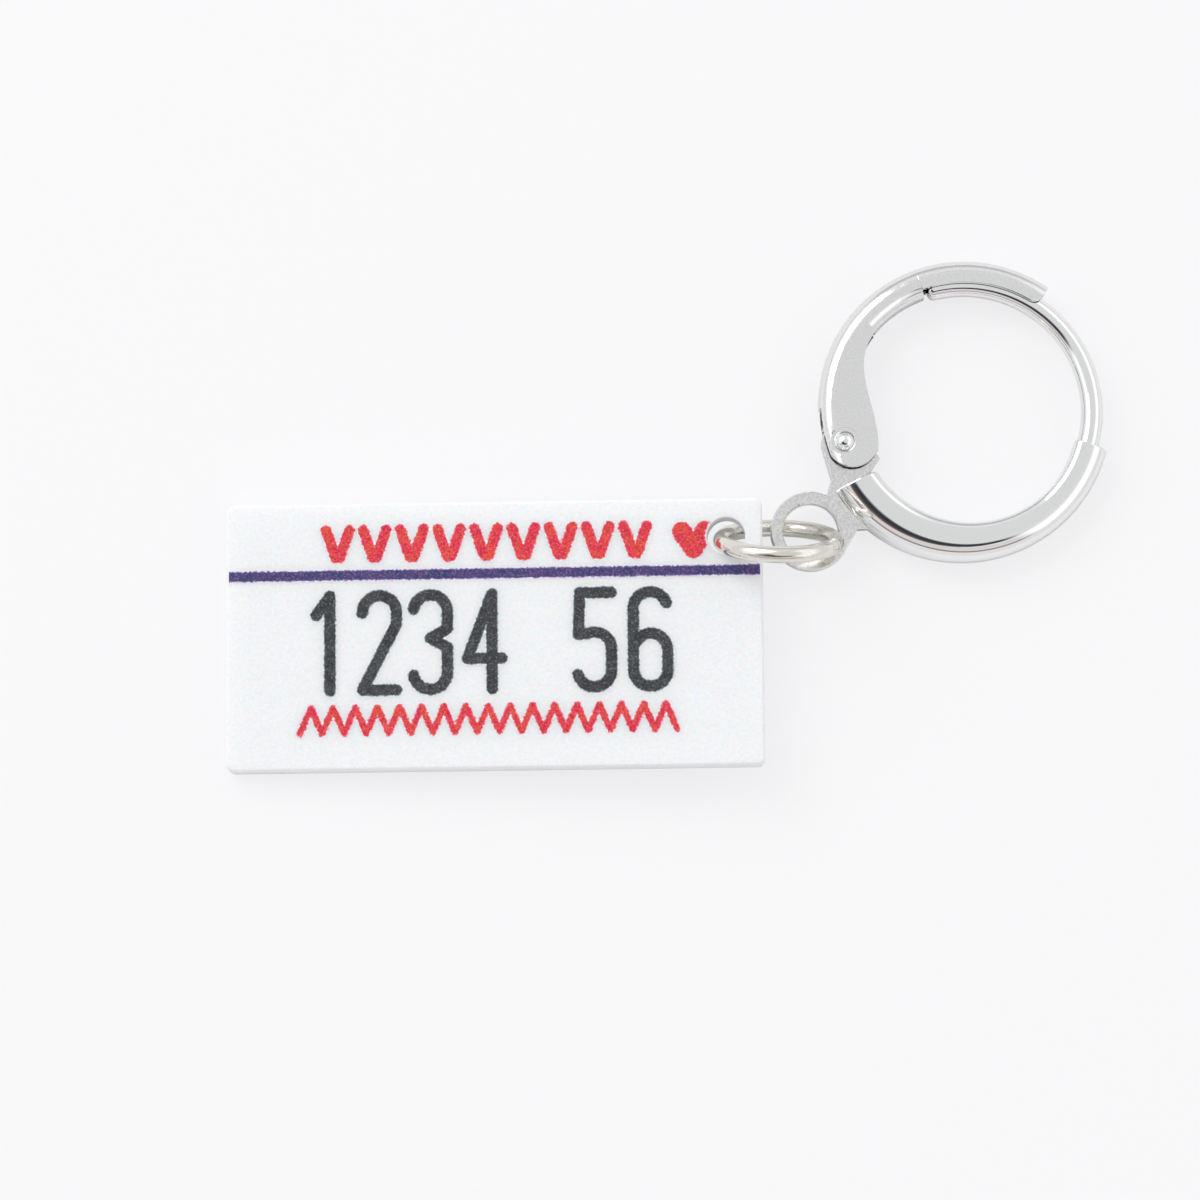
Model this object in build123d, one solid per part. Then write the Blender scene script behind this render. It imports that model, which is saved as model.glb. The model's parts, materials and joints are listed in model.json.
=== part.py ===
"""Stitch marker: a plate charm on a jump ring, which hangs on the loop of a round lever-back hoop.

Millimetres, +Z up. Everything lies on the plane Z = 0. The pieces are drawn about the hoop's centre and are
moved together at the end, so that the origin is the middle of the whole part's footprint. Directions are
degrees about the hoop's centre, anticlockwise from +X, and seen from above.
"""

import math
import os

from build123d import *

# Charm plate, half an inch by an inch
charm_length = 25.4
charm_width = 12.7
charm_thickness = 1.3
charm_corner_radius = 0.35
charm_edge_break = 0.1
charm_hole_diameter = 1.8
charm_hole_from_end = 1.7
charm_hole_from_side = 1.8
charm_turn = 0.5

# Jump ring, a round wire ring that stands on its edge and leans
ring_wire_diameter = 0.8
ring_inner_diameter = 4.6
ring_joint_gap = 0.04
ring_lean = 22.5
ring_joint_direction = 25

# Where the charm and the loop sit on the ring
charm_drop_share = 0.2385
charm_hole_shift = 0.175
loop_seat_shares = (0.47, -0.04)

# Hoop as a whole
hoop_outer_radius = 7.04
seat_clearance = 0.02

# Bow, the thick tapering front of the hoop, from its wide left end to its narrow right end
bow_wide_end_width = 2.5
bow_narrow_end_width = 1.6
bow_directions = (-152, -131.5, -110, -88, -66, -42, -17.3)
bow_outer_shares = (1.062, 1.081, 1.081, 1.067, 1.047, 1.023, 1.001)
bow_inner_shares = (0.764, 0.779, 0.795, 0.806, 0.807, 0.796, 0.775)
bow_dome_share = 0.6
bow_inner_break_share = 0.14
bow_nose_direction = 213.5
bow_nose_outset = 0.5
bow_nose_turn = 25

# Wire that closes the hoop
wire_diameter = 1.04
wire_root_inset = 0.91
wire_middle_inset = 1.1
wire_tip_inset = 1.125
wire_middle_direction = 45
wire_tip_direction = 108
wire_insertion = 1.2
wire_tip_break = 0.22

# Lever, folded from sheet
lever_sheet = 0.35
lever_side_clearance = 0.08
lever_bend_share = 0.76
saddle_start = 55.2
saddle_end = 110.5
saddle_depth = 1.11
saddle_corner_round = 0.45
neck_end = 140.5
neck_depth = 1.465
neck_pinch = 0.06
neck_inner_round = 0.7
spine_end = 181.5

# Lever's cheek from above. Pairs are shares of the lobe's radius, from the rivet's middle.
cheek_waist_inset = 1.81
cheek_waist_direction = 160
cheek_lobe_radius = 1.21
cheek_lobe_shift = 0.37
cheek_lobe_directions = (182, 252, 322)
cheek_shoulder_shares = (-0.93, 0.86)
cheek_flank_shares = (1.07, 1.34)
cheek_corner_shares = (1.3, -0.37)

# Rivet and its seat in the cheeks
rivet_inset = 0.93
rivet_direction = 197.4
rivet_diameter = 0.6
rivet_head_diameter = 1.0
rivet_head_height = 0.38
rivet_clearance = 0.05
rivet_head_clearance = 0.04
dimple_diameter = 1.36
dimple_depth = 0.15

# Back plate, stamped in one piece: tongue, heel, tang and loop
plate_thickness = 0.6
plate_edge_break = 0.06
tongue_radius = 1.08
loop_standoff = 2.568
loop_direction = 219.084
loop_outer_diameter = 3.8
loop_hole_diameter = 2.64
tang_inner_inset = 1.0
tang_outer_inset = 0.1
tang_end_direction = 238

# Back plate's edges. Pairs are shares of the tongue's radius, from the rivet's middle.
plate_left_shares = ((-0.94, -0.32), (-0.57, -1.6), (-0.78, -2.3))
plate_right_shares = ((0.56, -3.83), (0.08, -4.66))
heel_shares = ((1.05, -1.44), (1.57, -0.66), (1.44, -0.42), (0.9, 0))

# Leaf spring in the lever's channel
spring_thickness = 0.12
spring_side_clearance = 0.06
spring_clearance = 0.05
spring_inset = 0.75
spring_root_direction = 128.5
spring_contact_direction = 145
spring_straight_length = 1.1

# Overrun of every cutting solid past the faces that it cuts
overrun = 2.0


def polar(radius, direction, centre=Vector(0, 0)):
    """Point at a radius and a direction from a centre."""
    angle = math.radians(direction)
    return centre + Vector(radius * math.cos(angle), radius * math.sin(angle))


def arc_about(centre, radius, start, end):
    """Arc of a circle about a centre, from one direction to another."""
    return ThreePointArc(
        polar(radius, start, centre), polar(radius, (start + end) / 2, centre), polar(radius, end, centre)
    )


def sector(radius, start, end):
    """Pie slice about the hoop's centre."""
    return make_face([
        Line(Vector(0, 0), polar(radius, start)),
        arc_about(Vector(0, 0), radius, start, end),
        Line(polar(radius, end), Vector(0, 0)),
    ])


def slab(sketch, thickness):
    """A flat outline as a solid, half of its thickness on each side of Z = 0."""
    return extrude(sketch, thickness / 2, both=True)


# Sizes that follow from the driving ones
lever_gap = wire_diameter + 2 * lever_side_clearance
lever_width = lever_gap + 2 * lever_sheet
lever_bend_radius = lever_bend_share * lever_width / 2
lever_channel_radius = hoop_outer_radius - lever_sheet
saddle_inner_radius = hoop_outer_radius - saddle_depth
rivet_place = polar(hoop_outer_radius - rivet_inset, rivet_direction)
loop_place = polar(hoop_outer_radius + loop_standoff, loop_direction)
hoop_height = bow_wide_end_width / 2
ring_radius = (ring_inner_diameter + ring_wire_diameter) / 2
lean = math.radians(ring_lean)
ring_height = ring_radius * math.cos(lean) + ring_wire_diameter / 2


def ring_point(share):
    """Where the ring's wire is at a share of its height above its centre, on the right, from the centre."""
    across = ring_radius * math.sqrt(1 - share**2)
    return Vector(across, -ring_radius * math.sin(lean) * share)


# The ring passes down through the loop's hole, a little to the right of its middle
loop_play = (loop_hole_diameter - ring_wire_diameter) / 2
loop_crossing = ring_point((hoop_height - ring_height) / (ring_radius * math.cos(lean)))
ring_place = loop_place + Vector(*loop_seat_shares) * loop_play - loop_crossing
ring_centre = Vector(ring_place.X, ring_place.Y, ring_height)
ring_axis = Vector(0, math.cos(lean), math.sin(lean))

# The charm hangs on the ring's left side, with its far end on the table
charm_crossing = ring_point(-charm_drop_share)
charm_hole_height = ring_height - charm_drop_share * ring_radius * math.cos(lean)
charm_hole_place = Vector(
    ring_centre.X - charm_crossing.X + charm_hole_shift, ring_centre.Y + charm_crossing.Y, charm_hole_height
)
charm_reach = charm_length - charm_hole_from_end
charm_tilt = math.degrees(
    math.asin(charm_hole_height / math.hypot(charm_reach, charm_thickness / 2))
    - math.atan2(charm_thickness / 2, charm_reach)
)


def make_charm_plate():
    """Flat plate with broken edges and a hole in its upper right corner."""
    plate = slab(RectangleRounded(charm_length, charm_width, charm_corner_radius), charm_thickness)
    rims = plate.faces().sort_by(Axis.Z)[0].edges() + plate.faces().sort_by(Axis.Z)[-1].edges()
    plate = chamfer(rims, charm_edge_break)
    hole = Vector(charm_length / 2 - charm_hole_from_end, charm_width / 2 - charm_hole_from_side)
    plate -= Pos(hole) * Cylinder(charm_hole_diameter / 2, charm_thickness + overrun)
    return Pos(charm_hole_place) * Rot(0, 0, charm_turn) * Rot(0, -charm_tilt, 0) * Pos(-hole) * plate


def make_jump_ring():
    """Ring of round wire with its butt joint on the upper half, near the right end."""
    gap_angle = math.degrees(ring_joint_gap / ring_radius)
    ring = revolve(Plane.XZ * Pos(ring_radius, 0) * Circle(ring_wire_diameter / 2), Axis.Z, 360 - gap_angle)
    ring = Rot(0, 0, gap_angle / 2 - ring_joint_direction) * ring
    return Plane(ring_centre, x_dir=(1, 0, 0), z_dir=ring_axis) * ring


def plate_outline():
    """Tongue, heel, tang and loop in one outline."""
    left = [rivet_place + Vector(x, y) * tongue_radius for x, y in plate_left_shares]
    right = [rivet_place + Vector(x, y) * tongue_radius for x, y in plate_right_shares]
    heel = [rivet_place + Vector(x, y) * tongue_radius for x, y in heel_shares]
    tang_inner = hoop_outer_radius - tang_inner_inset
    tang_outer = hoop_outer_radius - tang_outer_inset
    tang = [polar(tang_inner, tang_end_direction), polar(tang_outer, tang_end_direction)]
    body = make_face(Polyline(*left, loop_place, *reversed(right), *reversed(tang), *heel, close=True))
    body += Pos(rivet_place) * Circle(tongue_radius)
    body += Pos(loop_place) * Circle(loop_outer_diameter / 2)
    return body - Pos(loop_place) * Circle(loop_hole_diameter / 2)


def make_back_plate():
    """Stamped plate with broken edges and a hole for the rivet."""
    plate = slab(plate_outline(), plate_thickness)
    rims = plate.faces().sort_by(Axis.Z)[0].edges() + plate.faces().sort_by(Axis.Z)[-1].edges()
    plate = chamfer(rims, plate_edge_break)
    plate -= Pos(rivet_place) * Cylinder(rivet_diameter / 2 + seat_clearance, plate_thickness + overrun)
    return Pos(0, 0, hoop_height) * plate


def wire_path(start_direction):
    """Centre line of the wire, from a direction inside the bow to its tip in the saddle."""
    root_radius = hoop_outer_radius - wire_root_inset
    return ThreePointArc(
        polar(root_radius, start_direction),
        polar(hoop_outer_radius - wire_middle_inset, wire_middle_direction),
        polar(hoop_outer_radius - wire_tip_inset, wire_tip_direction),
    )


def wire_start():
    """Direction at which the wire ends inside the bow."""
    return bow_directions[-1] - math.degrees(wire_insertion / (hoop_outer_radius - wire_root_inset))


def round_bar(path, diameter):
    """Round bar along a path."""
    return sweep(Plane(path @ 0, z_dir=path % 0) * Circle(diameter / 2), path=path)


def make_ear_wire():
    """Round wire with a blunted tip."""
    path = wire_path(wire_start())
    bar = round_bar(path, wire_diameter)
    tip = bar.faces().sort_by_distance(path @ 1)[0]
    return Pos(0, 0, hoop_height) * chamfer(tip.edges(), wire_tip_break)


def bow_section(direction, outer_radius, inner_radius, width):
    """Cross-section of the bow: its outer side is half an ellipse and its inner corners are broken."""
    depth = outer_radius - inner_radius
    dome = depth * bow_dome_share
    corner = depth * bow_inner_break_share
    section = make_face([
        EllipticalCenterArc((0, 0), dome, width / 2, start_angle=-90, arc_size=180),
        Polyline(
            (0, width / 2), (dome - depth + corner, width / 2), (dome - depth, width / 2 - corner),
            (dome - depth, corner - width / 2), (dome - depth + corner, -width / 2), (0, -width / 2),
        ),
    ])
    dome_centre = polar(outer_radius - dome, direction)
    return Plane(dome_centre, x_dir=polar(1, direction), z_dir=polar(1, direction + 90)) * section


def make_front_bow():
    """Tapering domed bow: a pointed left end on the back plate and a square right end round the wire."""
    span = bow_directions[-1] - bow_directions[0]
    sections = []
    for direction, outer_share, inner_share in zip(bow_directions, bow_outer_shares, bow_inner_shares):
        progress = (direction - bow_directions[0]) / span
        width = bow_wide_end_width + (bow_narrow_end_width - bow_wide_end_width) * progress
        sections.append(
            bow_section(direction, hoop_outer_radius * outer_share, hoop_outer_radius * inner_share, width)
        )
    bow = loft(sections)
    nose = polar(hoop_outer_radius + bow_nose_outset, bow_nose_direction)
    reach = hoop_outer_radius
    beyond = Pos(nose) * Rot(0, 0, bow_nose_turn) * Pos(0, reach / 2) * Rectangle(2 * reach, reach)
    bow -= slab(beyond, bow_wide_end_width + overrun)
    bow -= slab(offset(plate_outline(), seat_clearance), plate_thickness + 2 * seat_clearance)
    end_slack = math.degrees(seat_clearance / hoop_outer_radius)
    bow -= round_bar(wire_path(wire_start() - end_slack), wire_diameter + 2 * seat_clearance)
    return Pos(0, 0, hoop_height) * bow


def lever_outline():
    """The lever from above: saddle, neck and the cheek with its lobe round the rivet."""
    lobe = cheek_lobe_radius
    lobe_centre = rivet_place + Vector(cheek_lobe_shift, 0)
    lobe_left, lobe_foot, lobe_right = [polar(lobe, turn, lobe_centre) for turn in cheek_lobe_directions]
    shoulder = rivet_place + Vector(*cheek_shoulder_shares) * lobe
    cheek_corner = rivet_place + Vector(*cheek_corner_shares) * lobe
    flank = rivet_place + Vector(*cheek_flank_shares) * lobe
    waist = polar(hoop_outer_radius - cheek_waist_inset, cheek_waist_direction)
    neck_corner = polar(hoop_outer_radius - neck_depth, neck_end)
    saddle_corner = polar(saddle_inner_radius, saddle_start)
    outline = make_face([
        arc_about(Vector(0, 0), hoop_outer_radius, saddle_start, spine_end),
        Spline(polar(hoop_outer_radius, spine_end), shoulder, lobe_left),
        ThreePointArc(lobe_left, lobe_foot, lobe_right),
        Line(lobe_right, cheek_corner),
        Spline(cheek_corner, flank, waist, neck_corner),
        Line(neck_corner, polar(saddle_inner_radius, saddle_end)),
        arc_about(Vector(0, 0), saddle_inner_radius, saddle_end, saddle_start),
        Line(saddle_corner, polar(hoop_outer_radius, saddle_start)),
    ])
    return fillet(outline.vertices().sort_by_distance(saddle_corner)[0], saddle_corner_round)


def make_lever():
    """Folded lever: rounded spine, open channel in the saddle and between the cheeks, and a closed neck."""
    reach = hoop_outer_radius + overrun
    disc = Cylinder(hoop_outer_radius, lever_width)
    disc = fillet(disc.edges(), lever_bend_radius)
    folded = slab(lever_outline(), lever_width) & disc
    neck_slice = slab(sector(reach, saddle_end, neck_end), lever_width + overrun)
    neck_section = Rectangle(neck_depth, lever_width - 2 * neck_pinch)
    neck_section = fillet(neck_section.vertices().group_by(Axis.X)[-1], lever_bend_radius)
    neck_section = fillet(neck_section.vertices().group_by(Axis.X)[0], neck_inner_round)
    neck_section = Plane.XZ * Pos(hoop_outer_radius - neck_depth / 2, 0) * neck_section
    neck = Rot(0, 0, saddle_end) * revolve(neck_section, Axis.Z, neck_end - saddle_end)
    channel = Cylinder(lever_channel_radius, lever_gap)
    channel = fillet(channel.edges(), lever_bend_radius - lever_sheet)
    spine_foot = polar(hoop_outer_radius, spine_end).Y
    below = Box(2 * reach, 2 * reach, lever_gap)
    channel += Pos(0, spine_foot - reach, 0) * below
    lever = folded - neck_slice - channel + neck
    for side in (1, -1):
        bulge_height = side * (lever_gap - dimple_depth) / 2
        hollow_height = side * (lever_width / 2 - dimple_depth + overrun / 2)
        lever += Pos(rivet_place) * Pos(0, 0, bulge_height) * Cylinder(dimple_diameter / 2, dimple_depth)
        lever -= Pos(rivet_place) * Pos(0, 0, hollow_height) * Cylinder(dimple_diameter / 2, overrun)
    lever -= Pos(rivet_place) * Cylinder(rivet_diameter / 2 + rivet_clearance, lever_width + overrun)
    lever -= slab(spring_outline(seat_clearance), spring_width() + 2 * seat_clearance)
    return Pos(0, 0, hoop_height) * lever


def spring_width():
    """Width of the leaf spring across the channel."""
    return lever_gap - 2 * spring_side_clearance


def spring_outline(clearance=0):
    """The leaf spring's edge: a strip from the neck to the tongue's shoulder, which it meets as a tangent."""
    radius = hoop_outer_radius - spring_inset
    contact_radius = tongue_radius + spring_clearance + spring_thickness / 2
    tip = polar(contact_radius, spring_contact_direction, rivet_place)
    straight_end = polar(spring_straight_length, spring_contact_direction - 90, tip)
    root = polar(radius, spring_root_direction)
    root_end = polar(spring_thickness + clearance, spring_root_direction - 90, root)
    mouth = polar(radius, neck_end)
    leaf = Spline(straight_end, mouth, root, tangents=[straight_end - tip, root_end - root])
    path = Line(tip, straight_end) + leaf + Line(root, root_end)
    return trace(path, spring_thickness + 2 * clearance)


def make_leaf_spring():
    """Thin strip that stands on its edge in the channel."""
    return Pos(0, 0, hoop_height) * slab(spring_outline(), spring_width())


def make_rivet():
    """Round pin with a domed head on each side. The dome is a cap of a sphere."""
    foot = lever_width / 2 - dimple_depth + rivet_head_clearance
    head = rivet_head_diameter / 2
    sphere_radius = (head**2 + rivet_head_height**2) / (2 * rivet_head_height)
    rivet = Cylinder(rivet_diameter / 2, 2 * foot + rivet_head_height)
    for side in (1, -1):
        cap = Pos(0, 0, side * (foot + rivet_head_height - sphere_radius)) * Sphere(sphere_radius)
        reach = Pos(0, 0, side * (foot + rivet_head_height / 2)) * Cylinder(head, rivet_head_height)
        rivet += cap & reach
    return Pos(rivet_place) * Pos(0, 0, hoop_height) * rivet


pieces = {
    "charm_plate": make_charm_plate(),
    "jump_ring": make_jump_ring(),
    "back_plate": make_back_plate(),
    "front_bow": make_front_bow(),
    "ear_wire": make_ear_wire(),
    "rivet": make_rivet(),
    "lever": make_lever(),
    "leaf_spring": make_leaf_spring(),
}

box = Compound(list(pieces.values())).bounding_box()
origin = Vector((box.min.X + box.max.X) / 2, (box.min.Y + box.max.Y) / 2, 0)

os.makedirs("parts", exist_ok=True)
for name, piece in pieces.items():
    export_step(Pos(-origin) * piece, f"parts/{name}.step")

joint_places = {"rivet": rivet_place, "loop": loop_place, "ring": ring_centre, "hoop": Vector(0, 0)}
for label, place in joint_places.items():
    print(label, "at", place - origin)
print("ring axis", ring_axis)
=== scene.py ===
"""Looks of the stitch marker: a printed white charm on a silver jump ring and a plated lever-back hoop.

Lengths are in metres and written as numbers of MM. Only the print's are in millimetres, from the left and top edges
of the charm. Places come from the model: the joints give the rivet and the ring's middle and axis, and the charm's
face is read from its mesh. Angles are in degrees, and the hoop's directions run about its middle.
"""

import json
import math

import bmesh
import bpy
import numpy as np
from mathutils import Matrix, Vector


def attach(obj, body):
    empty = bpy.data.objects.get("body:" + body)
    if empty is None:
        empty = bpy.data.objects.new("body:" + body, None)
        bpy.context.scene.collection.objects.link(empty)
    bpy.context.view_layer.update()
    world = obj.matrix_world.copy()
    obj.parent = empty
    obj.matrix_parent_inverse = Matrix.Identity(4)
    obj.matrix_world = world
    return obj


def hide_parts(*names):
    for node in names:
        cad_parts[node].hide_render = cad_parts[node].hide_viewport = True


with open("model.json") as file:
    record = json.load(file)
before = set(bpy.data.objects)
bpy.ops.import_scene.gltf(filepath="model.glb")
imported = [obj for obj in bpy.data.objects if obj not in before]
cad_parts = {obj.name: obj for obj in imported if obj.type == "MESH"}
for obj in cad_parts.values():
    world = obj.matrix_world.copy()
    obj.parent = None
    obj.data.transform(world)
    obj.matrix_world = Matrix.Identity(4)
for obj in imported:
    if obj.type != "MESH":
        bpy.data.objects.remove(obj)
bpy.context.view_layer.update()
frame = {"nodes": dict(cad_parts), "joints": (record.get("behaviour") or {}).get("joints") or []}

MM = 0.001

# Camera, from the photograph: what it looks at, how it leans and how wide its frame is there
CAMERA_TARGET = (-3.234 * MM, -4.115 * MM, 1.5 * MM)
CAMERA_DISTANCE = 260 * MM
CAMERA_LEAN_SOUTH = 8.4
CAMERA_LEAN_EAST = -1.5
CAMERA_CLIP = CAMERA_DISTANCE / 100
FRAME_WIDTH = 56.87 * MM

# Tent of light: its level by height, as the sine of the elevation, and how much dimmer it is behind, below its top
TENT_HEIGHTS = (0.28, 0.5, 0.74, 0.85, 1.0)
TENT_LEVELS = (0.80, 1.18, 1.15, 0.77, 0.74)
TENT_TOP = (0.74, 0.85)
BEHIND_DIRECTIONS = (142, 158)
BEHIND_LEVEL = 0.72
BACKDROP_COLOUR = (0.94, 0.94, 0.95, 1)

# Dark patch in front, where the photographer stands: its middle, the two angles between which its edge fades, and
# how much its height swells from one direction to another
PATCH_DIRECTION = -14
PATCH_HALF_WIDTHS = (48, 62)
PATCH_ELEVATION = 55
PATCH_HALF_HEIGHTS = (6, 12)
SWELL_DIRECTIONS = (-60, 40)
SWELL_SHARES = (1.7, 0.6)
# Dark stripe below the patch, and the haze between the two
STRIPE_ELEVATION = 24
STRIPE_HALF_HEIGHTS = (2, 6)
STRIPE_STRENGTH = 0.85
HAZE_FOOT = (20, 27)
HAZE_TOP = (44, 50)
HAZE_STRENGTH = 0.45
# The patch's colour changes from warm to cool between two elevations
DARK_ELEVATIONS = (44, 54)
DARK_LOW_COLOUR = (0.16, 0.085, 0.06, 1)
DARK_HIGH_COLOUR = (0.045, 0.055, 0.07, 1)

LAMP_PLACE = (-0.35, 0.35, 0.5)
LAMP_SIZE = 0.45
LAMP_POWER = 1.7

# Table: its paper, and what the camera sees of it, which is its own light with a quarter of the paper's shade
FLOOR_REACH = 1.5
PAPER_COLOUR = (0.90, 0.90, 0.905, 1)
SEEN_SHADE_COLOUR = (0.215, 0.215, 0.216, 1)
SEEN_GLOW_COLOUR = (0.732, 0.732, 0.744, 1)

# Metal: lengths of its marks, and the noise levels between which a mark fades in
SCRATCH_LENGTH = 0.07 * MM
DULL_LENGTH = 0.5 * MM
DULL_NOISE = (0.35, 0.7)
DULL_SHARES = (0.75, 1.4)
SPECK_LENGTH = 0.1 * MM
SPECK_NOISE = (0.35, 0.65)
SPECK_COLOUR = (0.30, 0.29, 0.28, 1)
STAMPED_TINT = (0.89, 0.893, 0.895)

# Charm's plastic
CHARM_COLOUR = (0.885, 0.908, 0.935, 1)
CHARM_ROUGHNESS = 0.6
CHARM_IOR = 1.4
CHARM_GRAIN_LENGTH = 0.14 * MM
CHARM_PEBBLE_LENGTH = 0.12 * MM
CHARM_PEBBLE_DEPTH = 0.003 * MM
CHARM_SCATTER = 0.5
CHARM_SCATTER_DEPTH = 0.8 * MM

# Ink: depths from its outline between which it covers the white and loses its fringe, and the noise levels
# between which its patches and its pale and dark dots fade in
INK_COVER_DEPTHS = (0.0, 0.05 * MM)
INK_CORE_DEPTHS = (0.02 * MM, 0.09 * MM)
INK_FRAY_LENGTH = 0.13 * MM
INK_FRAY_REACH = 2.2
INK_PATCH_LENGTH = 0.55 * MM
INK_PATCH_NOISE = (0.42, 0.58)
INK_DOT_LENGTH = 0.10 * MM
INK_PALE_NOISE = (0.52, 0.70)
INK_PALE_STRENGTH = 0.5
INK_PALE_WHITE = 0.22
INK_PALE_COLOUR = 0.78
INK_DARK_NOISE = (0.32, 0.50)
INK_DARK_STRENGTH = 0.7
INK_DARK_COLOUR = 0.35

# Copies of the solids: what is merged, joined, rounded and shaded smooth
SEAM = 0.0005 * MM
FLAT_ANGLE = 0.3
SHARP_ANGLE = 38
SHADING_ANGLE = 35
ROUND_STEPS = 2
ROUND_ROOM = 1.6
BACK_PLATE_ROUND = 0.09 * MM
LEVER_ROUND = 0.10 * MM
CHARM_ROUND = 0.03 * MM

# Hoop, as in the solids
HOOP_FROM_RIVET = (5.8304 * MM, 1.8271 * MM)
HOOP_HEIGHT = 1.25 * MM
HOOP_RADIUS = 7.04 * MM
BOW_DIRECTIONS = (-152, -131.5, -110, -88, -66, -42, -17.3)
BOW_OUTER_SHARES = (1.062, 1.081, 1.081, 1.067, 1.047, 1.023, 1.001)
BOW_INNER_SHARES = (0.764, 0.779, 0.795, 0.806, 0.807, 0.796, 0.775)
BOW_CURVE_DEGREE = 5
BOW_WIDTHS = (2.5 * MM, 1.6 * MM)
BOW_DOME_SHARE = 0.6
BOW_INNER_ROUND_SHARE = 0.24
BOW_NOSE_DIRECTION = 213.5
BOW_NOSE_OUTSET = 0.5 * MM
BOW_NOSE_TURN = 25
BOW_NOSE_REACH = 10
BOW_NOSE_STEPS = 800
BOW_DOME_POINTS = 49
BOW_CORNER_POINTS = 7
BOW_ROWS = 150
BOW_END_ROUND = 0.07 * MM
BOW_END_STEPS = 3
BOW_END_ANGLE = 50
WIRE_THICKNESS = 1.04 * MM
WIRE_INSETS = (0.91 * MM, 1.1 * MM, 1.125 * MM)
WIRE_DIRECTIONS = (-28.5, 45, 108)
WIRE_SEEN_FROM = -20
WIRE_TIP_ROUND = 0.3 * MM
WIRE_POINTS = 160

# Jump ring, as in the solids
RING_RADIUS = 2.7 * MM
RING_THICKNESS = 0.8 * MM
RING_JOINT_DIRECTION = -25
RING_JOINT_GAP = 0.04 * MM
RING_END_ROUND = 0.05 * MM
RING_POINTS = 200

# Tubes of wire
TUBE_SIDES = 40
TUBE_END_STEPS = 5

# Film of ink, and the hole that it keeps clear of
PRINT_STEP = 0.05 * MM
INK_HEIGHT = 0.012 * MM
CHARM_HOLE = (23.7 * MM, 1.8 * MM)
CHARM_HOLE_RADIUS = 0.9 * MM

# Print, in millimetres. Boxes are left, top, right, bottom
STITCH_COUNT = 9
STITCH_LEFTS = (4.45, 18.55)
STITCH_TOPS = (0.3, 1.4)
STITCH_FEET = (0.75, 0.95)
STITCH_HEIGHTS = (1.27, 2.57)
STITCH_HALF_WIDTH = 0.30
HEART_TOPS = ((21.6, 1.55), (22.7, 1.55))
HEART_FOOT = (22.15, 2.4)
HEART_HALF_WIDTH = 0.5
STITCH_BOX = (4.2, 0.7, 23.6, 3.2)
LINE_ENDS = (-0.5, 26)
LINE_HEIGHT = 3.43
LINE_HALF_WIDTH = 0.28
LINE_BOX = (0.13, 3.0, 25.29, 3.9)
DIGIT_LEFTS = (3.66, 6.17, 8.58, 11.14, 16.33, 18.98)
DIGIT_INSET = 0.29
DIGIT_TOP = 4.42
DIGIT_SIZE = (1.62, 4.5)
DIGIT_HALF_WIDTH = 0.32
DIGIT_BOX = (3.4, 3.95, 21.5, 9.4)
ZIGZAG_COUNT = 17
ZIGZAG_ENDS = (3.5, 21.3)
ZIGZAG_HEIGHTS = (9.75, 10.95)
ZIGZAG_HALF_WIDTH = 0.2
ZIGZAG_BOX = (3.1, 9.4, 21.8, 11.4)

JOINTS = {joint["name"]: joint for joint in frame["joints"]}


class Tree:
    """A node tree with short calls. A value or another node's socket goes into each input of a new node."""

    def __init__(self, tree):
        self.tree = tree
        tree.nodes.clear()

    def add(self, kind, inputs=None, output=0, **settings):
        """Makes a node, fills its inputs by name or number, and returns one of its output sockets."""
        node = self.tree.nodes.new(kind)
        for key, value in settings.items():
            setattr(node, key, value)
        for key, value in (inputs or {}).items():
            if isinstance(value, bpy.types.NodeSocket):
                self.tree.links.new(value, node.inputs[key])
            else:
                node.inputs[key].default_value = value
        return node.outputs[output] if node.outputs else node

    def math(self, operation, *values):
        """One Math node."""
        return self.add("ShaderNodeMath", dict(enumerate(values)), operation=operation)

    def noise(self, length, detail=2.0, roughness=0.5, output=0):
        """Noise in Object coordinates, with features of about this length. Output 0 is grey and 1 is coloured."""
        place = self.add("ShaderNodeTexCoord", output=3)
        inputs = {"Vector": place, "Scale": 1 / length, "Detail": detail, "Roughness": roughness}
        return self.add("ShaderNodeTexNoise", inputs, output=output)

    def ramp(self, value, low, high, to_low=0.0, to_high=1.0):
        """A value remapped from one range to another with smooth ends."""
        inputs = dict(enumerate((value, low, high, to_low, to_high)))
        return self.add("ShaderNodeMapRange", inputs, interpolation_type="SMOOTHSTEP")

    def turn_ramp(self, value, ends, to_low=0.0, to_high=1.0):
        """A ramp over an angle, with its ends in degrees."""
        return self.ramp(value, math.radians(ends[0]), math.radians(ends[1]), to_low, to_high)

    def turn_from(self, value, middle):
        """How far an angle is from a middle in degrees, on either side."""
        return self.math("ABSOLUTE", self.math("SUBTRACT", value, math.radians(middle)))

    def mix(self, factor, first, second, blend="MIX"):
        """Two colours mixed. These are the numbers of the Mix node's colour sockets."""
        inputs = {0: factor, 6: first, 7: second}
        return self.add("ShaderNodeMix", inputs, output=2, data_type="RGBA", blend_type=blend)

    def bump(self, height, distance, normal=None):
        """Bump from a height, in metres of depth."""
        inputs = {"Height": height, "Distance": distance}
        if normal is not None:
            inputs["Normal"] = normal
        return self.add("ShaderNodeBump", inputs)

    def seen(self):
        """One for the camera's own rays, and zero for all others."""
        return self.add("ShaderNodeLightPath", output="Is Camera Ray")


def material(name):
    """An empty node material and its tree."""
    made = bpy.data.materials.new(name)
    made.use_nodes = True
    return made, Tree(made.node_tree)


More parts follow.
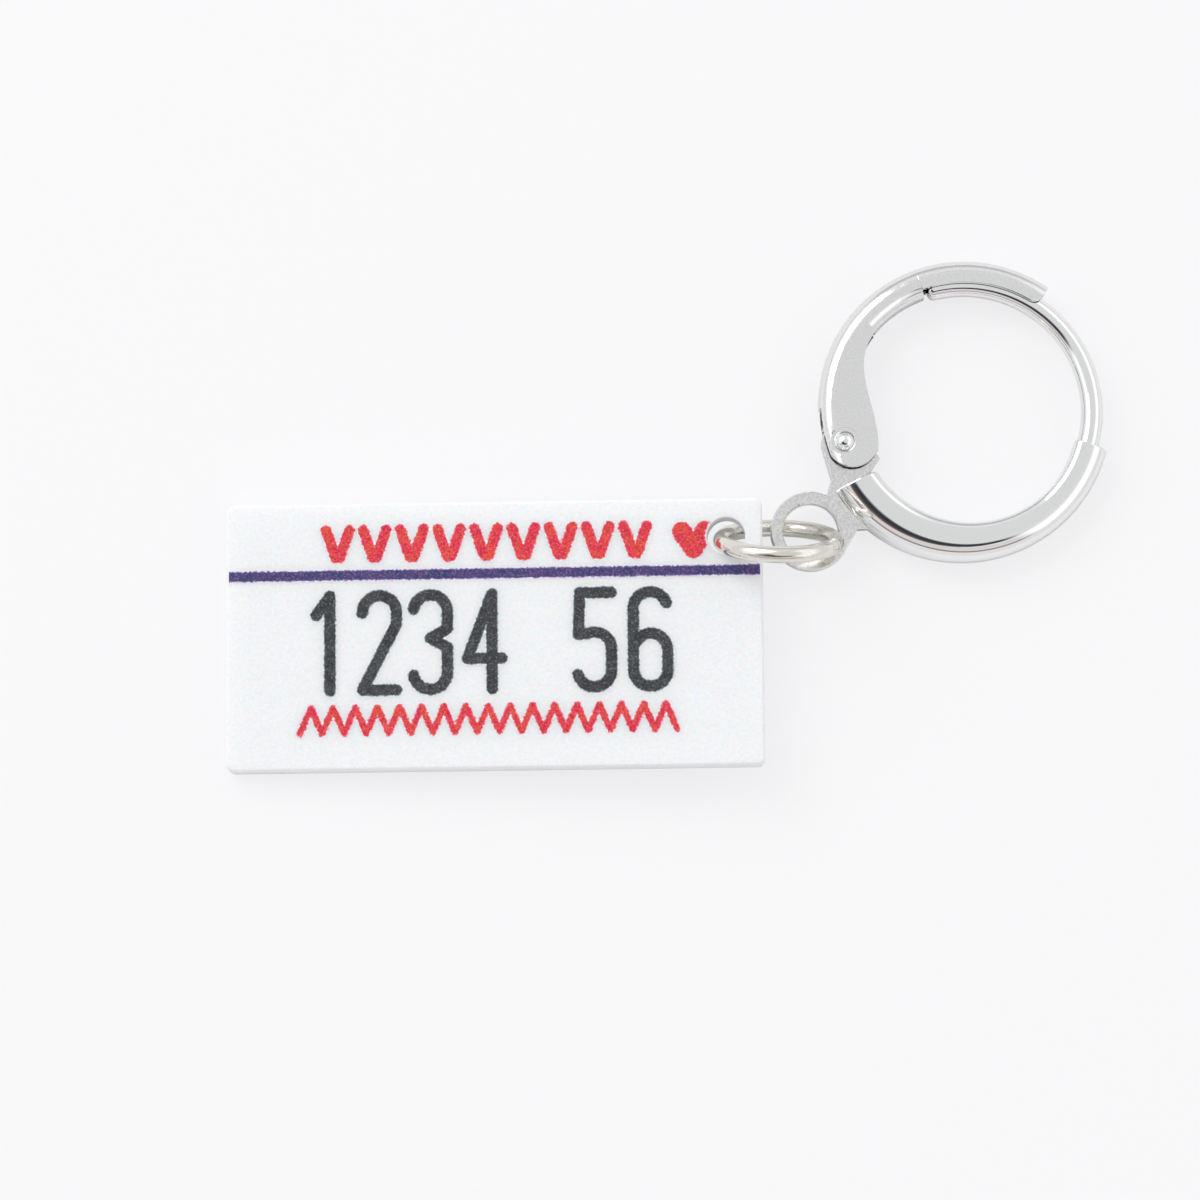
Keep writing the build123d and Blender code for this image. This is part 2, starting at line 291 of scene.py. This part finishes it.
def plating(name, tint, roughness, wave, scratch, speck=0.0, wave_length=1.6 * MM):
    """Bright plated metal: a slow wave in the polish, fine scratches, duller places and faint dark specks."""
    made, tree = material(name)
    slow = tree.noise(wave_length)
    fine = tree.noise(SCRATCH_LENGTH, detail=3.0, roughness=0.6)
    normal = tree.bump(fine, scratch, normal=tree.bump(slow, wave))
    dull_range = [roughness * share for share in DULL_SHARES]
    dull = tree.ramp(tree.noise(DULL_LENGTH, detail=3.0), *DULL_NOISE, *dull_range)
    grain = tree.ramp(tree.noise(SPECK_LENGTH, detail=3.0, roughness=0.7), *SPECK_NOISE, 1 - speck, 1.0)
    colour = tree.mix(grain, SPECK_COLOUR, (*tint, 1))
    shader = tree.add("ShaderNodeBsdfPrincipled", {
        "Base Color": colour, "Metallic": 1.0, "Roughness": dull, "Normal": normal,
    })
    tree.add("ShaderNodeOutputMaterial", {"Surface": shader})
    return made


def charm_white(tree):
    """The charm's white, with the print's fine cool grain."""
    grain = tree.noise(CHARM_GRAIN_LENGTH, detail=1.0, roughness=0.6, output=1)
    return tree.mix(1.0, CHARM_COLOUR, grain, blend="OVERLAY")


def charm_plastic():
    """White satin plastic."""
    made, tree = material("charm_plastic")
    fine = tree.noise(CHARM_PEBBLE_LENGTH, detail=3.0, roughness=0.6)
    shader = tree.add("ShaderNodeBsdfPrincipled", {
        "Base Color": charm_white(tree), "Roughness": CHARM_ROUGHNESS, "IOR": CHARM_IOR,
        "Normal": tree.bump(fine, CHARM_PEBBLE_DEPTH), "Subsurface Weight": CHARM_SCATTER,
        "Subsurface Radius": (1, 1, 1), "Subsurface Scale": CHARM_SCATTER_DEPTH,
    })
    tree.add("ShaderNodeOutputMaterial", {"Surface": shader})
    return made


def ink(name, colour, patch_colour, fringe_colour, fray):
    """Printed ink with a frayed edge, a coloured fringe beside it, patches of a second tone, and dark and pale
    dots. The inset is the depth from the outline, which print_film stores."""
    made, tree = material(name)
    inset = tree.add("ShaderNodeAttribute", output=2, attribute_name="inset")
    fine = tree.noise(INK_FRAY_LENGTH, roughness=0.6)
    dots = tree.noise(INK_DOT_LENGTH, roughness=0.7)
    broad = tree.noise(INK_PATCH_LENGTH)
    wobble = tree.math("MULTIPLY", tree.math("SUBTRACT", fine, 0.5), INK_FRAY_REACH * fray)
    depth = tree.math("ADD", inset, wobble)
    cover = tree.ramp(depth, *INK_COVER_DEPTHS)
    core = tree.ramp(depth, *INK_CORE_DEPTHS)
    pale_colour = [INK_PALE_WHITE + INK_PALE_COLOUR * part for part in colour]
    dark_colour = [INK_DARK_COLOUR * part for part in colour]
    tone = tree.mix(tree.ramp(broad, *INK_PATCH_NOISE), (*colour, 1), (*patch_colour, 1))
    tone = tree.mix(tree.ramp(dots, *INK_PALE_NOISE, 0.0, INK_PALE_STRENGTH), tone, (*pale_colour, 1))
    tone = tree.mix(tree.ramp(dots, *INK_DARK_NOISE, INK_DARK_STRENGTH, 0.0), tone, (*dark_colour, 1))
    edged = tree.mix(core, (*fringe_colour, 1), tone)
    shader = tree.add("ShaderNodeBsdfPrincipled", {
        "Base Color": tree.mix(cover, charm_white(tree), edged), "Roughness": CHARM_ROUGHNESS, "IOR": CHARM_IOR,
    })
    tree.add("ShaderNodeOutputMaterial", {"Surface": shader})
    return made


def linked(name, data):
    """A new object, linked to the scene."""
    made = bpy.data.objects.new(name, data)
    bpy.context.scene.collection.objects.link(made)
    return made


def weigh_shading(mesh):
    """Shading normals: each corner takes its vertex's mean normal, weighted by face area, unless that is further
    off the face's own normal than SHADING_ANGLE."""
    faces = len(mesh.polygons)
    areas = np.empty(faces)
    normals = np.empty(faces * 3)
    sides = np.empty(faces, dtype=np.int32)
    corners = np.empty(len(mesh.loops), dtype=np.int32)
    mesh.polygons.foreach_get("area", areas)
    mesh.polygons.foreach_get("normal", normals)
    mesh.polygons.foreach_get("loop_total", sides)
    mesh.loops.foreach_get("vertex_index", corners)
    own = np.repeat(normals.reshape(-1, 3), sides, axis=0)
    summed = np.zeros((len(mesh.vertices), 3))
    np.add.at(summed, corners, own * np.repeat(areas, sides)[:, None])
    summed /= np.maximum(np.linalg.norm(summed, axis=1), 1e-30)[:, None]
    shading = summed[corners]
    off = (shading * own).sum(axis=1) < math.cos(math.radians(SHADING_ANGLE))
    shading[off] = own[off]
    mesh.normals_split_custom_set(shading.tolist())


def round_edges(shape, size):
    """Rounds the sharp edges. Those beside a face too small for the round stay sharp, such as the small steps of
    the lever's neck."""
    limit = math.radians(SHARP_ANGLE)
    sharp = {edge for edge in shape.edges if edge.is_manifold and edge.calc_face_angle(0) > limit}
    room = ROUND_ROOM * size
    cramped = {vertex for vertex in shape.verts
               if any(edge not in sharp and edge.calc_length() < room for edge in vertex.link_edges)
               or sum(edge in sharp for edge in vertex.link_edges) > 2}
    roomy = [edge for edge in sharp if cramped.isdisjoint(edge.verts)]
    bmesh.ops.bevel(shape, geom=roomy, offset=size, segments=ROUND_STEPS, profile=0.5, affect="EDGES",
                    clamp_overlap=True)


def polished_copy(node, body, finish, edge_round=0.0):
    """The CAD piece with its seams merged, its flat faces joined and its sharp edges rounded."""
    mesh = bpy.data.meshes.new(node + "_finish")
    shape = bmesh.new()
    shape.from_mesh(frame["nodes"][node].data)
    bmesh.ops.remove_doubles(shape, verts=shape.verts, dist=SEAM)
    bmesh.ops.dissolve_limit(shape, angle_limit=math.radians(FLAT_ANGLE), verts=shape.verts, edges=shape.edges)
    if edge_round:
        round_edges(shape, edge_round)
    shape.to_mesh(mesh)
    shape.free()
    piece = linked(node + "_finish", mesh)
    mesh.shade_smooth()
    weigh_shading(mesh)
    mesh.materials.clear()
    mesh.materials.append(finish)
    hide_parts(node)
    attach(piece, body)


def add_surface(name, points, faces, body, finish, node=None):
    """A new smooth piece from points and faces. With a node's name it takes that CAD piece's place."""
    mesh = bpy.data.meshes.new(name)
    mesh.from_pydata(points.tolist(), [], faces)
    mesh.shade_smooth()
    mesh.materials.append(finish)
    piece = linked(name, mesh)
    if node:
        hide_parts(node)
    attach(piece, body)
    return piece


def closed_faces(points, rows, columns):
    """Faces of a closed surface: quads between rows of points, each row a closed loop, and a cap on the first and
    the last row. They are turned round if the volume inside comes out negative."""
    row, column = np.meshgrid(np.arange(rows - 1), np.arange(columns), indexing="ij")
    after = (column + 1) % columns
    here, below = row * columns, (row + 1) * columns
    quads = np.stack([here + column, here + after, below + after, below + column], axis=-1).reshape(-1, 4)
    a, b, c = (points[quads[:, corner]] for corner in range(3))
    towards = (np.cross(b - a, c - a) * (a - points.mean(axis=0))).sum()
    faces = quads.tolist()
    faces += [list(range(columns))[::-1], list(range((rows - 1) * columns, rows * columns))]
    return faces if towards > 0 else [face[::-1] for face in faces]


def tube(path, axis, thickness, end_round):
    """Round wire along a flat path. Each row of points is a circle square to the path. At both ends the circles
    shrink along a quarter arc of radius end_round to a flat end."""
    radius = thickness / 2
    ahead = np.gradient(path, axis=0)
    ahead /= np.linalg.norm(ahead, axis=1)[:, None]
    turn = np.linspace(0, math.pi / 2, TUBE_END_STEPS + 1)[1:]
    out, shrink = end_round * np.sin(turn), radius - end_round * (1 - np.cos(turn))
    first = path[0] - ahead[0] * out[::-1, None]
    last = path[-1] + ahead[-1] * out[:, None]
    middles = np.concatenate([first, path, last])
    radii = np.concatenate([shrink[::-1], np.full(len(path), radius), shrink])
    start, end = (np.repeat(way, TUBE_END_STEPS, axis=0) for way in (ahead[:1], ahead[-1:]))
    along = np.concatenate([start, ahead, end])
    beside = np.cross(along, axis)
    angles = np.linspace(0, 2 * math.pi, TUBE_SIDES, endpoint=False)
    rings = np.cos(angles)[None, :, None] * beside[:, None, :] + np.sin(angles)[None, :, None] * axis
    points = (middles[:, None, :] + rings * radii[:, None, None]).reshape(-1, 3)
    return points, closed_faces(points, len(middles), TUBE_SIDES)


def hoop_middle():
    """Middle of the hoop, at half of its height."""
    rivet = JOINTS["lever_hinge"]["pos_m"]
    return np.array([rivet[0] + HOOP_FROM_RIVET[0], rivet[1] + HOOP_FROM_RIVET[1], HOOP_HEIGHT])


def make_ear_wire(finish):
    """Ear wire: a tube along the circle through three points of its middle line, with a rounded tip."""
    turns = np.radians(WIRE_DIRECTIONS)
    radii = HOOP_RADIUS - np.array(WIRE_INSETS)
    x, y = radii * np.cos(turns), radii * np.sin(turns)
    rows = np.column_stack([2 * x, 2 * y, np.ones(3)])
    centre_x, centre_y, rest = np.linalg.solve(rows, x**2 + y**2)
    radius = math.sqrt(rest + centre_x**2 + centre_y**2)
    end = math.atan2(y[-1] - centre_y, x[-1] - centre_x) - WIRE_TIP_ROUND / radius
    angles = np.linspace(math.radians(WIRE_SEEN_FROM), end, WIRE_POINTS)
    path = np.column_stack([centre_x + radius * np.cos(angles), centre_y + radius * np.sin(angles), 0 * angles])
    points, faces = tube(path + hoop_middle(), np.array([0.0, 0.0, 1.0]), WIRE_THICKNESS, WIRE_TIP_ROUND)
    add_surface("ear_wire_round", points, faces, "hoop", finish, "ear_wire")


def make_jump_ring(finish):
    """Jump ring: a tube round a circle about the ring's axis, with a narrow butt joint between rounded ends."""
    joint = JOINTS["charm_swing"]
    axis = np.array(joint["axis"]) / np.linalg.norm(joint["axis"])
    right = np.array([1.0, 0.0, 0.0])
    up = np.cross(axis, right)
    start = math.radians(RING_JOINT_DIRECTION) + (RING_JOINT_GAP / 2 + RING_END_ROUND) / RING_RADIUS
    end = start + 2 * math.pi - (RING_JOINT_GAP + 2 * RING_END_ROUND) / RING_RADIUS
    angles = np.linspace(start, end, RING_POINTS)[:, None]
    path = np.array(joint["pos_m"]) + RING_RADIUS * (np.cos(angles) * right + np.sin(angles) * up)
    points, faces = tube(path, axis, RING_THICKNESS, RING_END_ROUND)
    add_surface("jump_ring_round", points, faces, "link", finish, "jump_ring")


def make_bow(finish):
    """Bow: its outer and inner radii are smooth curves of the direction, and its width tapers evenly. The section's
    outer side is half an ellipse and its inner corners are small arcs. Lines along the bow start on the nose's
    plane and end at the square end."""
    outer_curve = np.polynomial.Polynomial.fit(BOW_DIRECTIONS, BOW_OUTER_SHARES, BOW_CURVE_DEGREE)
    inner_curve = np.polynomial.Polynomial.fit(BOW_DIRECTIONS, BOW_INNER_SHARES, BOW_CURVE_DEGREE)
    half_turn = np.radians(np.linspace(-90, 90, BOW_DOME_POINTS))
    quarter = np.radians(np.linspace(0, 90, BOW_CORNER_POINTS))
    back = quarter[::-1]
    no_dome, no_corner, one = np.zeros(BOW_DOME_POINTS), np.zeros(BOW_CORNER_POINTS), np.ones(BOW_CORNER_POINTS)
    # Each point of the section is a sum of the dome's depth, the rest of the depth, the corner and the half width
    dome_part = np.concatenate([np.cos(half_turn), no_corner, no_corner])
    rest_part = np.concatenate([no_dome, -one, -one])
    corner_part = np.concatenate([no_dome, 1 - np.sin(quarter), 1 - np.sin(back)])
    width_part = np.concatenate([np.sin(half_turn), one, -one])
    corner_height = np.concatenate([no_dome, np.cos(quarter) - 1, 1 - np.cos(back)])

    def place(directions):
        """Points of the section's lines at the directions, one column for each line."""
        progress = (directions - BOW_DIRECTIONS[0]) / (BOW_DIRECTIONS[-1] - BOW_DIRECTIONS[0])
        outer, inner = HOOP_RADIUS * outer_curve(directions), HOOP_RADIUS * inner_curve(directions)
        half = (BOW_WIDTHS[0] + (BOW_WIDTHS[1] - BOW_WIDTHS[0]) * progress) / 2
        depth = outer - inner
        corner = depth * BOW_INNER_ROUND_SHARE
        shares = BOW_DOME_SHARE * dome_part + (1 - BOW_DOME_SHARE) * rest_part
        radius = outer - depth * BOW_DOME_SHARE + (depth * shares + corner * corner_part)
        height = half * width_part + corner * corner_height
        angle = np.radians(directions)
        return np.stack([radius * np.cos(angle), radius * np.sin(angle), height], axis=-1)

    nose_radius, nose_angle = HOOP_RADIUS + BOW_NOSE_OUTSET, math.radians(BOW_NOSE_DIRECTION)
    nose = np.array([nose_radius * math.cos(nose_angle), nose_radius * math.sin(nose_angle)])
    turn = math.radians(BOW_NOSE_TURN)
    scan = np.linspace(BOW_DIRECTIONS[0], BOW_DIRECTIONS[1] + BOW_NOSE_REACH, BOW_NOSE_STEPS)
    scan = scan[:, None] * np.ones(len(dome_part))
    offset = place(scan)[..., :2] - nose
    beyond = math.cos(turn) * offset[..., 1] - math.sin(turn) * offset[..., 0]
    starts = scan[np.argmax(beyond < 0, axis=0), np.arange(scan.shape[1])]
    share = np.linspace(0, 1, BOW_ROWS)[:, None]
    points = place(starts + (BOW_DIRECTIONS[-1] - starts) * share)
    rows, columns = points.shape[:2]
    points = points.reshape(-1, 3) + hoop_middle()
    faces = closed_faces(points, rows, columns)
    piece = add_surface("front_bow_dome", points, faces, "hoop", finish, "front_bow")
    bevel = piece.modifiers.new("end_round", "BEVEL")
    bevel.width = BOW_END_ROUND
    bevel.segments = BOW_END_STEPS
    bevel.limit_method = "ANGLE"
    bevel.angle_limit = math.radians(BOW_END_ANGLE)


def charm_frame():
    """Left top corner of the charm's printed face, and the directions to the right, down and out of the face."""
    mesh = frame["nodes"]["charm_plate"].data
    points = np.empty(len(mesh.vertices) * 3)
    normals = np.empty(len(mesh.polygons) * 3)
    areas = np.empty(len(mesh.polygons))
    mesh.vertices.foreach_get("co", points)
    mesh.polygons.foreach_get("normal", normals)
    mesh.polygons.foreach_get("area", areas)
    points, normals = points.reshape(-1, 3), normals.reshape(-1, 3)
    facing = 0.95
    out = (normals * areas[:, None])[normals[:, 2] > facing].sum(axis=0)
    back = (normals * areas[:, None])[normals[:, 1] > facing].sum(axis=0)
    out /= np.linalg.norm(out)
    right = np.cross(back, out)
    right /= np.linalg.norm(right)
    down = -np.cross(out, right)
    reach = [points @ way for way in (right, down, out)]
    corner = right * reach[0].min() + down * reach[1].min() + out * reach[2].max()
    return corner, right, down, out


def stroke(line, half_width):
    """Distance function of a round-ended stroke along a line of points, in millimetres: the distance to the nearest
    of its segments less half of its width."""
    line = np.array(line, dtype=float)

    def distance(u, v):
        place = np.stack([u, v], axis=-1)[..., None, :]
        start, step = line[:-1], np.diff(line, axis=0)
        share = ((place - start) * step).sum(axis=-1) / (step**2).sum(axis=-1)
        nearest = start + np.clip(share, 0, 1)[..., None] * step
        return np.linalg.norm(place - nearest, axis=-1).min(axis=-1) - half_width

    return distance


def arc(centre, radius, start, end, count=14):
    """Points of an arc. Angles run clockwise as seen on the print, from the right."""
    turns = np.radians(np.linspace(start, end, count))
    return list(zip(centre[0] + radius * np.cos(turns), centre[1] + radius * np.sin(turns)))


def digit_lines(wide, high):
    """Middle lines of the digits 1 to 6 in a box, from its top left corner."""
    half = wide / 2
    top, low = (half, half), (half, high - half)
    belly_of_five, belly_of_six = (half, 0.42 * high + half), (half, 0.44 * high + half)
    waist_of_three = [(wide, 0.36 * high), (half, 0.46 * high), (wide, 0.56 * high)]
    one = [(0.2 * wide, 0.2 * high), (0.6 * wide, 0), (0.6 * wide, high)]
    two = arc(top, half, 180, 360) + [(wide, 0.3 * high), (0, high), (wide, high)]
    three = arc(top, half, 190, 360) + waist_of_three + arc(low, half, 0, 170)
    four = [(0.72 * wide, high), (0.72 * wide, 0), (0, 0.68 * high), (wide, 0.68 * high)]
    five = [(wide, 0), (0.08 * wide, 0), (0.04 * wide, 0.44 * high)]
    five += arc(belly_of_five, half, 250, 360) + arc(low, half, 0, 165)
    six = arc(top, half, 340, 180) + arc(low, half, 180, 0) + arc(belly_of_six, half, 0, -180)
    return [one, two, three, four, five, six]


def print_film(name, parts, box, finish, face):
    """Thin film of ink. Its points are a square grid over the box, a little above the face. A cell stays if one of
    its corners is inside a part. Corners outside are moved back to the outline, down the slope of the distance.
    Each point stores its depth inside the outline."""
    corner, right, down, out = face
    left, top, end, foot = (side * MM for side in box)
    u, v = np.meshgrid(np.arange(left, end, PRINT_STEP), np.arange(top, foot, PRINT_STEP), indexing="ij")
    near = np.min([part(u / MM, v / MM) for part in parts], axis=0) * MM
    hole = CHARM_HOLE_RADIUS + PRINT_STEP - np.hypot(u - CHARM_HOLE[0], v - CHARM_HOLE[1])
    depth = np.maximum(near, hole)
    slope_u, slope_v = np.gradient(depth, PRINT_STEP)
    outside = np.maximum(depth, 0)
    u, v = u - outside * slope_u, v - outside * slope_v
    inside = depth < 0
    cells = inside[:-1, :-1] | inside[1:, :-1] | inside[:-1, 1:] | inside[1:, 1:]
    index = np.arange(depth.size).reshape(depth.shape)
    quads = np.stack([index[:-1, :-1], index[:-1, 1:], index[1:, 1:], index[1:, :-1]], axis=-1)[cells]
    used, faces = np.unique(quads, return_inverse=True)
    faces = faces.reshape(quads.shape)
    places = corner + u.reshape(-1, 1)[used] * right + v.reshape(-1, 1)[used] * down + INK_HEIGHT * out
    piece = add_surface(name, places, faces.tolist(), "charm", finish)
    inset = piece.data.attributes.new("inset", "FLOAT", "POINT")
    inset.data.foreach_set("value", np.maximum(-depth.reshape(-1)[used], 0).astype(np.float32))


def print_charm():
    """The print: a row of knit stitches and a heart in red, a violet line, six black digits and a red zigzag."""
    face = charm_frame()
    red = ink("ink_red", (0.76, 0.028, 0.065), (0.78, 0.06, 0.045), (0.92, 0.36, 0.50), 0.10 * MM)
    violet = ink("ink_violet", (0.050, 0.045, 0.17), (0.085, 0.05, 0.19), (0.50, 0.35, 0.75), 0.10 * MM)
    black = ink("ink_black", (0.035, 0.037, 0.043), (0.055, 0.058, 0.065), (0.42, 0.52, 0.55), 0.07 * MM)
    top, foot = STITCH_HEIGHTS
    signs = [stroke([(left + above, top), (left + below, foot)], STITCH_HALF_WIDTH)
             for left in np.linspace(*STITCH_LEFTS, STITCH_COUNT) for above, below in zip(STITCH_TOPS, STITCH_FEET)]
    signs += [stroke([lobe, HEART_FOOT], HEART_HALF_WIDTH) for lobe in HEART_TOPS]
    print_film("print_stitches", signs, STITCH_BOX, red, face)
    line = [stroke([(end, LINE_HEIGHT) for end in LINE_ENDS], LINE_HALF_WIDTH)]
    print_film("print_line", line, LINE_BOX, violet, face)
    digits = [stroke(np.array(lines) + (left + DIGIT_INSET, DIGIT_TOP), DIGIT_HALF_WIDTH)
              for left, lines in zip(DIGIT_LEFTS, digit_lines(*DIGIT_SIZE))]
    print_film("print_digits", digits, DIGIT_BOX, black, face)
    points = 2 * ZIGZAG_COUNT + 1
    heights = np.where(np.arange(points) % 2, *ZIGZAG_HEIGHTS)
    zigzag = [stroke(np.column_stack([np.linspace(*ZIGZAG_ENDS, points), heights]), ZIGZAG_HALF_WIDTH)]
    print_film("print_zigzag", zigzag, ZIGZAG_BOX, red, face)


def dress():
    """Gives every CAD piece its finish."""
    plated = plating("hoop_plating", (0.90, 0.905, 0.91), roughness=0.07, wave=0.0012 * MM, scratch=0.00005 * MM)
    stamped = plating("stamped_lever", STAMPED_TINT, roughness=0.12, wave=0.004 * MM, scratch=0.0003 * MM,
                      speck=0.10, wave_length=0.5 * MM)
    plate = plating("stamped_plate", STAMPED_TINT, roughness=0.15, wave=0.003 * MM, scratch=0.0010 * MM,
                    speck=0.30, wave_length=0.5 * MM)
    ring = plating("ring_silver", (0.84, 0.82, 0.75), roughness=0.17, wave=0.004 * MM, scratch=0.0003 * MM,
                   speck=0.12, wave_length=1.2 * MM)
    spring = plating("spring_steel", (0.66, 0.66, 0.67), roughness=0.25, wave=0.001 * MM, scratch=0.0005 * MM)
    make_bow(plated)
    make_ear_wire(plated)
    make_jump_ring(ring)
    polished_copy("rivet", "hoop", plated)
    polished_copy("back_plate", "hoop", plate, BACK_PLATE_ROUND)
    polished_copy("lever", "lever", stamped, LEVER_ROUND)
    polished_copy("leaf_spring", "lever", spring)
    polished_copy("charm_plate", "charm", charm_plastic(), CHARM_ROUND)
    print_charm()


def make_camera():
    """Camera at the photograph's angle, looking almost straight down."""
    south = math.radians(CAMERA_LEAN_SOUTH)
    east = math.radians(CAMERA_LEAN_EAST)
    back = Vector((math.sin(east), -math.sin(south), math.cos(east) * math.cos(south))).normalized()
    right = Vector((0, 1, 0)).cross(back).normalized()
    turn = Matrix((right, back.cross(right), back)).transposed()
    camera = linked("camera", bpy.data.cameras.new("camera"))
    camera.matrix_world = Matrix.Translation(Vector(CAMERA_TARGET) + back * CAMERA_DISTANCE) @ turn.to_4x4()
    camera.data.lens = camera.data.sensor_width * CAMERA_DISTANCE / FRAME_WIDTH
    camera.data.clip_start = CAMERA_CLIP
    bpy.context.scene.camera = camera


def make_sky():
    """Soft white tent: bright walls, a dimmer top and back, and a dark patch in front with a dark stripe below it.
    The compass angle is 0 towards the photographer, and the camera's own rays see a plain backdrop."""
    world = bpy.data.worlds.new("tent")
    world.use_nodes = True
    bpy.context.scene.world = world
    tree = Tree(world.node_tree)
    apart = tree.add("ShaderNodeSeparateXYZ", {0: tree.add("ShaderNodeTexCoord")}).node
    height = apart.outputs[2]
    compass = tree.math("ARCTAN2", apart.outputs[0], tree.math("MULTIPLY", apart.outputs[1], -1.0))
    steep = tree.math("ARCSINE", height)
    level = TENT_LEVELS[0]
    for low, high, before, after in zip(TENT_HEIGHTS, TENT_HEIGHTS[1:], TENT_LEVELS, TENT_LEVELS[1:]):
        level = tree.math("ADD", level, tree.ramp(height, low, high, 0, after - before))
    behind = tree.turn_ramp(tree.math("ABSOLUTE", compass), BEHIND_DIRECTIONS, 1.0, BEHIND_LEVEL)
    level = tree.math("MULTIPLY", level, tree.math("MAXIMUM", behind, tree.ramp(height, *TENT_TOP)))
    across = tree.turn_ramp(tree.turn_from(compass, PATCH_DIRECTION), PATCH_HALF_WIDTHS, 1.0, 0.0)
    swell = tree.turn_ramp(compass, SWELL_DIRECTIONS, *SWELL_SHARES)
    off_middle = tree.math("DIVIDE", tree.turn_from(steep, PATCH_ELEVATION), swell)
    high_part = tree.turn_ramp(off_middle, PATCH_HALF_HEIGHTS, 1.0, 0.0)
    low_part = tree.turn_ramp(tree.turn_from(steep, STRIPE_ELEVATION), STRIPE_HALF_HEIGHTS, STRIPE_STRENGTH, 0.0)
    haze_top = tree.turn_ramp(steep, HAZE_TOP, HAZE_STRENGTH, 0.0)
    haze = tree.math("MULTIPLY", tree.turn_ramp(steep, HAZE_FOOT), haze_top)
    parts = tree.math("MAXIMUM", haze, tree.math("MAXIMUM", high_part, low_part))
    dark = tree.mix(tree.turn_ramp(steep, DARK_ELEVATIONS), DARK_LOW_COLOUR, DARK_HIGH_COLOUR)
    colour = tree.mix(tree.math("MULTIPLY", across, parts), (1.0, 1.0, 1.0, 1), dark)
    light = tree.add("ShaderNodeBackground", {"Color": colour, "Strength": level})
    plain = tree.add("ShaderNodeBackground", {"Color": BACKDROP_COLOUR, "Strength": 1.0})
    both = tree.add("ShaderNodeMixShader", {0: tree.seen(), 1: light, 2: plain})
    tree.add("ShaderNodeOutputWorld", {"Surface": both})


def make_floor():
    """Pale table, which the camera sees lit and with a weak shadow."""
    corners = [(x * FLOOR_REACH, y * FLOOR_REACH, 0) for x, y in ((-1, -1), (1, -1), (1, 1), (-1, 1))]
    mesh = bpy.data.meshes.new("floor")
    mesh.from_pydata(corners, [], [(0, 1, 2, 3)])
    floor = linked("floor", mesh)
    made, tree = material("pale_table")
    paper = tree.add("ShaderNodeBsdfDiffuse", {"Color": PAPER_COLOUR})
    shade = tree.add("ShaderNodeBsdfDiffuse", {"Color": SEEN_SHADE_COLOUR})
    glow = tree.add("ShaderNodeEmission", {"Color": SEEN_GLOW_COLOUR, "Strength": 1.0})
    table = tree.add("ShaderNodeAddShader", {0: shade, 1: glow})
    both = tree.add("ShaderNodeMixShader", {0: tree.seen(), 1: paper, 2: table})
    tree.add("ShaderNodeOutputMaterial", {"Surface": both})
    mesh.materials.append(made)


def make_lamp():
    """One large soft lamp, high on the upper left."""
    lamp = linked("soft_lamp", bpy.data.lights.new("soft_lamp", "AREA"))
    lamp.data.size = LAMP_SIZE
    lamp.data.energy = LAMP_POWER
    lamp.location = LAMP_PLACE
    lamp.rotation_mode = "QUATERNION"
    lamp.rotation_quaternion = Vector(LAMP_PLACE).to_track_quat("Z", "Y")
    lamp.visible_camera = False


dress()
make_camera()
make_sky()
make_floor()
make_lamp()
bpy.context.scene.view_settings.view_transform = "Standard"
